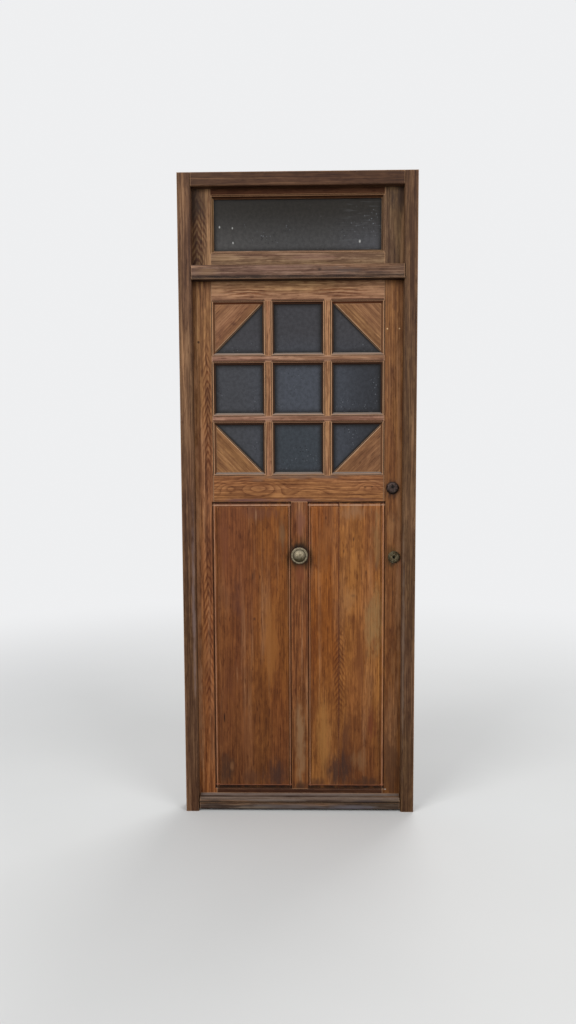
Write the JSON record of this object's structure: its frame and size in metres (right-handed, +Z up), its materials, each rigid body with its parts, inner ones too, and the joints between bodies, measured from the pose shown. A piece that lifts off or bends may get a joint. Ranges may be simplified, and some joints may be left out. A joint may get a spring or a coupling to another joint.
{
  "type": "glazed entrance door with overlight",
  "caption": "Framed and panelled timber entrance door with small glazed lights, wooden corner triangles, a weatherboard, rim locks, a central pull knob and a fixed overlight.",
  "frame": {"origin": "midway between the two jamb feet, at the sill, at the middle of the frame's depth", "axes": "+X to the right as seen from outside, towards the lock jamb; +Y from outside into the house; +Z up"},
  "size_m": [0.9, 0.1385, 2.465],
  "materials": {
    "frame_wood": "weathered, greyed softwood",
    "sash_wood": "worn varnish, greyed",
    "leaf_wood": "oiled wood with clear grain",
    "panel_wood": "oiled wood, warmer tone",
    "weathered_wood": "bare, weathered grey",
    "bead_wood": "oiled wood",
    "obscure_glass": "textured, obscured",
    "overlight_glass": "clear, dusty",
    "aged_brass": "tarnished brown",
    "dark_bronze": "aged, dark",
    "plug_brass": "worn satin",
    "case_enamel": "dark brown lacquer, satin",
    "hinge_steel": "dull grey",
    "screw_steel": "dull grey"
  },
  "bodies": {
    "frame": {"frame_jamb_hinge_side": "frame_wood", "frame_jamb_lock_side": "frame_wood", "frame_head": "frame_wood", "frame_transom": "frame_wood", "overlight_stile_left": "sash_wood", "overlight_stile_right": "sash_wood", "overlight_top_rail": "sash_wood", "overlight_bottom_rail": "sash_wood", "overlight_pane": "overlight_glass", "overlight_glazing_beads": "bead_wood", "hinge_lower_frame_half": "hinge_steel", "hinge_middle_frame_half": "hinge_steel", "hinge_upper_frame_half": "hinge_steel", "hinge_pins": "hinge_steel", "deadlock_keep": "case_enamel", "latch_keep": "case_enamel", "frame_screws": "screw_steel"},
    "leaf": {"leaf_stile_hinge_side": "leaf_wood", "leaf_stile_lock_side": "leaf_wood", "leaf_top_rail": "leaf_wood", "leaf_lock_rail": "leaf_wood", "leaf_bottom_rail": "leaf_wood", "leaf_muntin": "leaf_wood", "glazing_bar_upright_left": "leaf_wood", "glazing_bar_upright_right": "leaf_wood", "glazing_bar_cross_lower": "leaf_wood", "glazing_bar_cross_upper": "leaf_wood", "corner_panel_lower_left": "leaf_wood", "corner_panel_lower_right": "leaf_wood", "corner_panel_upper_left": "leaf_wood", "corner_panel_upper_right": "leaf_wood", "pane_lower_left": "obscure_glass", "pane_lower_centre": "obscure_glass", "pane_lower_right": "obscure_glass", "pane_middle_left": "obscure_glass", "pane_middle_centre": "obscure_glass", "pane_middle_right": "obscure_glass", "pane_upper_left": "obscure_glass", "pane_upper_centre": "obscure_glass", "pane_upper_right": "obscure_glass", "leaf_glazing_beads": "bead_wood", "lower_panel_left": "panel_wood", "lower_panel_right": "panel_wood", "weatherboard": "weathered_wood", "hinge_lower_leaf_half": "hinge_steel", "hinge_middle_leaf_half": "hinge_steel", "hinge_upper_leaf_half": "hinge_steel", "pull_knob": "aged_brass", "pull_knob_bolt": "aged_brass", "deadlock_cylinder": "dark_bronze", "deadlock_case": "case_enamel", "latch_cylinder": "dark_bronze", "latch_case": "case_enamel", "leaf_screws": "screw_steel"},
    "deadlock_bolt": {"deadlock_bolt": "plug_brass"},
    "deadlock_turn": {"deadlock_turn": "aged_brass"},
    "deadlock_key_plug": {"deadlock_key_plug": "plug_brass"},
    "latch": {"latch_bolt": "plug_brass", "latch_pull": "aged_brass"},
    "latch_key_plug": {"latch_key_plug": "plug_brass"}
  },
  "joints": [
    {"name": "leaf_swing", "type": "hinge", "parent": "frame", "child": "leaf", "pos_m": [-0.41625, 0.045, 0], "axis": [0, 0, 1], "range_deg": [0, 100]},
    {"name": "deadlock_bolt_throw", "type": "slide", "parent": "leaf", "child": "deadlock_bolt", "axis": [1, 0, 0], "range_m": [0, 0.02]},
    {"name": "deadlock_turn_spin", "type": "hinge", "parent": "leaf", "child": "deadlock_turn", "pos_m": [0.364, 0.07, 1.289], "axis": [0, 1, 0], "range_deg": [0, 180]},
    {"name": "deadlock_key_spin", "type": "hinge", "parent": "leaf", "child": "deadlock_key_plug", "pos_m": [0.364, 0, 1.289], "axis": [0, 1, 0], "range_deg": [0, 180]},
    {"name": "latch_slide", "type": "slide", "parent": "leaf", "child": "latch", "axis": [1, 0, 0], "range_m": [0, 0.014]},
    {"name": "latch_key_spin", "type": "hinge", "parent": "leaf", "child": "latch_key_plug", "pos_m": [0.371, 0, 1.019], "axis": [0, 1, 0], "range_deg": [0, 90]}
  ],
  "couplings": [
    {"joint": "deadlock_turn_spin", "follows": "deadlock_bolt_throw", "rad_per_m": 157},
    {"joint": "deadlock_key_spin", "follows": "deadlock_bolt_throw", "rad_per_m": 157}
  ]
}
